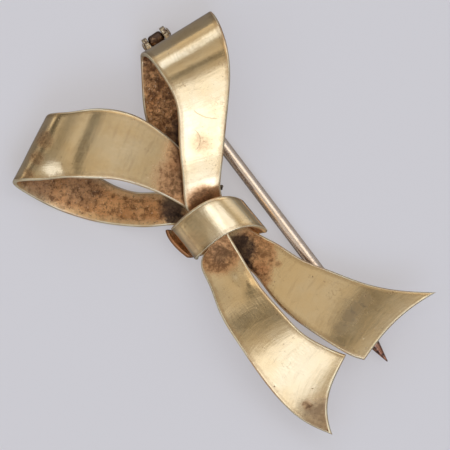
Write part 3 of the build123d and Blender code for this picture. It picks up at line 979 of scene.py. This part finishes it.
pin_metal, shader, place = skin("pin_metal")
tone = place.mottle(500, 4).step(0.3, 0.75)
colour = (tone * 0.5).blend((0.98, 0.77, 0.58, 1), (0.87, 0.60, 0.40, 1))
film = place.mottle(900, 6, 0.7).step(0.52, 0.75)
colour = (film * 0.5).blend(colour, (0.50, 0.32, 0.19, 1))
point_spot = pin_tip - knot
tip_wear = place.near(point_spot.x / mm, point_spot.y / mm, 1.2, 3.4)
colour = tip_wear.blend(colour, (0.42, 0.17, 0.09, 1))
colour = (tip_wear * place.mottle(1800, 5, 0.7).step(0.45, 0.6)).blend(colour, (0.07, 0.04, 0.03, 1))
normal = relief(place.mottle(2200, 5, 0.65), 0.012 * mm)
fix(shader, Base_Color=colour, Metallic=0.8, Roughness=0.26 + film * 0.16, Normal=normal)
inner_end = hinge + direction(first_heading) * stem_start
stem_line = rounded_path([inner_end, bend_point, pin_tip], bend_radius, 16)
stem = grown("pin_stem_drawn", stem_line, True, stem_tree, {
    "Radius": stem_radius, "Root Length": root_length, "Root Share": root_share,
    "Taper Length": taper_length, "Point Length": point_length, "Point Share": point_share,
    "End Radius": end_radius, "Material": pin_metal,
})
for piece in (knuckle, stem):
    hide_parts("pin_stem")
    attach(piece, "pin")

# Solder
# Small frozen beads and run-out round the plate, the catch's foot and the upper loop's foot, dark with
# old flux. They sit where the solder ran out when the pieces were joined.
bead_low = 0.6  # least and most of a bead's breadth, as shares of its size
bead_high = 1.15
bead_flatness = 0.7
bead_lumps = 0.12 * mm
bead_seed = 4
solder_tree, given = new_tree("solder beads", {
    "Size": "NodeSocketFloat", "Flatness": "NodeSocketFloat", "Lumps": "NodeSocketFloat",
    "Seed": "NodeSocketInt", "Material": "NodeSocketMaterial",
})
ball = given["Geometry"].add("GeometryNodeMeshIcoSphere", {}, {"Radius": given["Size"], "Subdivisions": 4})
breadths = {2: bead_low, 3: bead_high, "Seed": given["Seed"]}
spread = ball.add("FunctionNodeRandomValue", {"data_type": "FLOAT"}, breadths, 1)
stretch = ball.add("ShaderNodeCombineXYZ", {}, {0: spread, 1: 1.0, 2: given["Flatness"]})
beads = ball.add("GeometryNodeInstanceOnPoints", {}, {
    "Points": given["Geometry"], "Instance": ball, "Scale": stretch,
})
beads = beads.add("GeometryNodeRealizeInstances", {}, {0: beads})
spot = beads.add("GeometryNodeInputPosition")
lump = beads.add("ShaderNodeTexNoise", {}, {"Vector": spot, "Scale": 3500.0, "Detail": 2.0}, "Fac") - 0.5
away = beads.add("GeometryNodeInputNormal")
push = beads.add("ShaderNodeVectorMath", {"operation": "SCALE"}, {0: away, "Scale": lump * given["Lumps"]})
beads = beads.add("GeometryNodeSetPosition", {}, {"Geometry": beads, "Offset": push})
finish_tree(beads)
flux = grimy_metal("solder_metal", (0.50, 0.40, 0.30, 1), (0.07, 0.045, 0.03, 1), 0.8, 0.35)
loop_foot = [knot + Vector((0.28, 4.15, 4.25)) * mm, knot + Vector((0.24, 3.95, 4.2)) * mm]
under_loop = knot_level(3) - upper_drop - sheet / 2
plate_beads = []
for x, along in (  # millimetres inward from the rivet and along it
    (4.2, -0.9), (4.25, -0.2), (4.2, 0.6), (4.15, 1.1),
    (3.2, 1.35), (2.3, 1.38), (3.0, -1.36), (2.0, -1.38),
):
    bead = hinge + inward * (x * mm) + rivet_way * (along * mm)
    bead.z = under_loop
    plate_beads.append(bead)
foot_beads = []
for x, along in (  # millimetres outward from the pin and along it
    (-1.1, -0.5), (-1.15, 0.2), (-0.9, 0.75), (-0.2, 0.85), (0.5, 0.85), (-0.5, -0.85), (0.3, -0.85),
):
    bead = base + outward * (x * mm) + stem_way * (along * mm)
    bead.z = height_over(high_ends, bead) - sheet / 2
    foot_beads.append(bead)
for name, spots, size, node in (
    ("solder_loop_foot", loop_foot, 0.17, "upper_loop"), ("solder_plate", plate_beads, 0.26, "upper_loop"),
    ("solder_catch", foot_beads, 0.26, "upper_tail"),
):
    solder = grown(name, spots, False, solder_tree, {
        "Size": size * mm, "Flatness": bead_flatness, "Lumps": bead_lumps, "Seed": bead_seed,
        "Material": flux,
    })
    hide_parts(node)
    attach(solder, "bow")

# Table top, light and camera
# A sheet of pale grey paper in a pale room, with a large soft window of light towards the foot of the
# picture, smaller soft patches round about, dim patches where the camera and a screen stand, and the
# camera straight above at a long distance.
half_paper = 3.0  # metres, half its width
paper_grey = (0.33, 0.33, 0.345, 1)
paper_shine = (0.608, 0.571, 0.566, 1)  # what the camera sees of it over the light that falls on it
paper_corners = [(-half_paper, -half_paper, 0), (half_paper, -half_paper, 0)]
paper_corners += [(half_paper, half_paper, 0), (-half_paper, half_paper, 0)]
stock, shader, place = skin("paper_stock")
pool = place.near(-21.0, -23.0, 14.0, 12.0) * 0.5 + 0.05  # light on it that only the metal sees
unseen = pool.add("ShaderNodeCombineColor", {}, {0: pool, 1: pool, 2: pool})
seen = place.add("ShaderNodeLightPath", out="Is Camera Ray")
fix(
    shader, Base_Color=paper_grey, Roughness=0.9, Specular_IOR_Level=0.1, Emission_Strength=0.64,
    Emission_Color=seen.blend(unseen, paper_shine),
)
paper = smooth_piece("paper", paper_corners, [(0, 1, 2, 3)], [stock])

world = bpy.context.scene.world or bpy.data.worlds.new("studio")
bpy.context.scene.world = world
world.use_nodes = True
sky = Paint(world.node_tree)
gaze = sky.add("ShaderNodeTexCoord", out="Generated")

# A round patch of the room, at a heading and an angle from straight up, with its reach and its soft
# rim, in degrees, and how much light it adds or, on a screen or shade, what share it takes away
Patch = namedtuple("Patch", "heading tilt reach soft share")
SCREENS = [
    Patch(145, 3, 2, 8, 0.66),
    Patch(-4, 40, 4, 4, 0.5),
    Patch(146, 7, 3, 3, 0.35),
]
LAMPS = [
    Patch(-131, 84, 14, 10, 0.3),
    Patch(-138, 56, 10, 8, 0.3),
    Patch(14, 47, 16, 10, 0.25),
    Patch(37, 27, 12, 8, 0.95),
    Patch(119, 78, 14, 12, 0.5),
    Patch(150, 23, 4, 9, 0.13),
    Patch(157, 58, 3, 4, 0.45),
    Patch(157, 86, 5, 5, 0.6),
    Patch(106, 11, 3, 4, 0.22),
]
LAMP_SHADES = [Patch(-146, 74, 5, 4, 0.8)]
WINDOWS = [
    Patch(-75, 34, 15, 7, 0.64),
    Patch(-52, 23, 5, 5, 0.25),
    Patch(-76, 43, 8, 6, 0.8),
    Patch(-94, 33, 4, 5, 0.66),
    Patch(108, 54, 9, 9, 1.0),
    Patch(192, 43, 4, 6, 0.9),
    Patch(17, 56, 18, 14, 0.22),
]
room_tint = (1.0, 1.01, 1.0)
window_tint = (1.0, 1.3, 1.95)  # daylight, so bluer
backdrop = (0.597, 0.591, 0.624, 1)  # what the camera sees past the paper


def glow(patch):
    """The patch's share inside it, and 0 away from it."""
    tilt = radians(patch.tilt)
    aim = direction(patch.heading) * sin(tilt) + Vector((0, 0, cos(tilt)))
    facing = gaze.add("ShaderNodeVectorMath", {"operation": "DOT_PRODUCT"}, {0: gaze, 1: aim}, "Value")
    return facing.step(cos(radians(patch.reach + patch.soft)), cos(radians(patch.reach))) * patch.share


height = gaze.add("ShaderNodeSeparateXYZ", {}, {0: gaze}, "Z")
room = 0.36 - height.step(0.08, 0.3) * 0.24 + height.step(0.35, 0.95) * 0.42
for patch in SCREENS:
    room = room * (1 - glow(patch))
for patch in LAMPS:
    room = room + glow(patch)
for patch in LAMP_SHADES:
    room = room * (1 - glow(patch))
window = sum(glow(patch) for patch in WINDOWS)
seen = gaze.add("ShaderNodeLightPath", out="Is Camera Ray")
tinted = {part: room * room_tint[part] + window * window_tint[part] for part in range(3)}
shade = room.add("ShaderNodeCombineColor", {}, tinted)
shade = seen.blend(shade, backdrop)
back = world.node_tree.nodes["Background"]
world.node_tree.links.new(shade.socket, back.inputs["Color"])
back.inputs["Strength"].default_value = 1.0

shot = bpy.data.cameras.new("camera")
camera = bpy.data.objects.new("camera", shot)
bpy.context.collection.objects.link(camera)
far = 2.0  # metres above the paper
frame_width = 45.0 * mm  # of the photograph, on the paper
frame_right = 0.6 * mm  # from the knot to the photograph's middle
frame_up = 0.3 * mm
shot.sensor_width = 36.0
shot.lens = shot.sensor_width * far / frame_width
shot.clip_start = 0.1
shot.clip_end = 10.0
camera.location = (knot.x + frame_right, knot.y + frame_up, far)
bpy.context.scene.camera = camera
bpy.context.scene.view_settings.view_transform = "Standard"
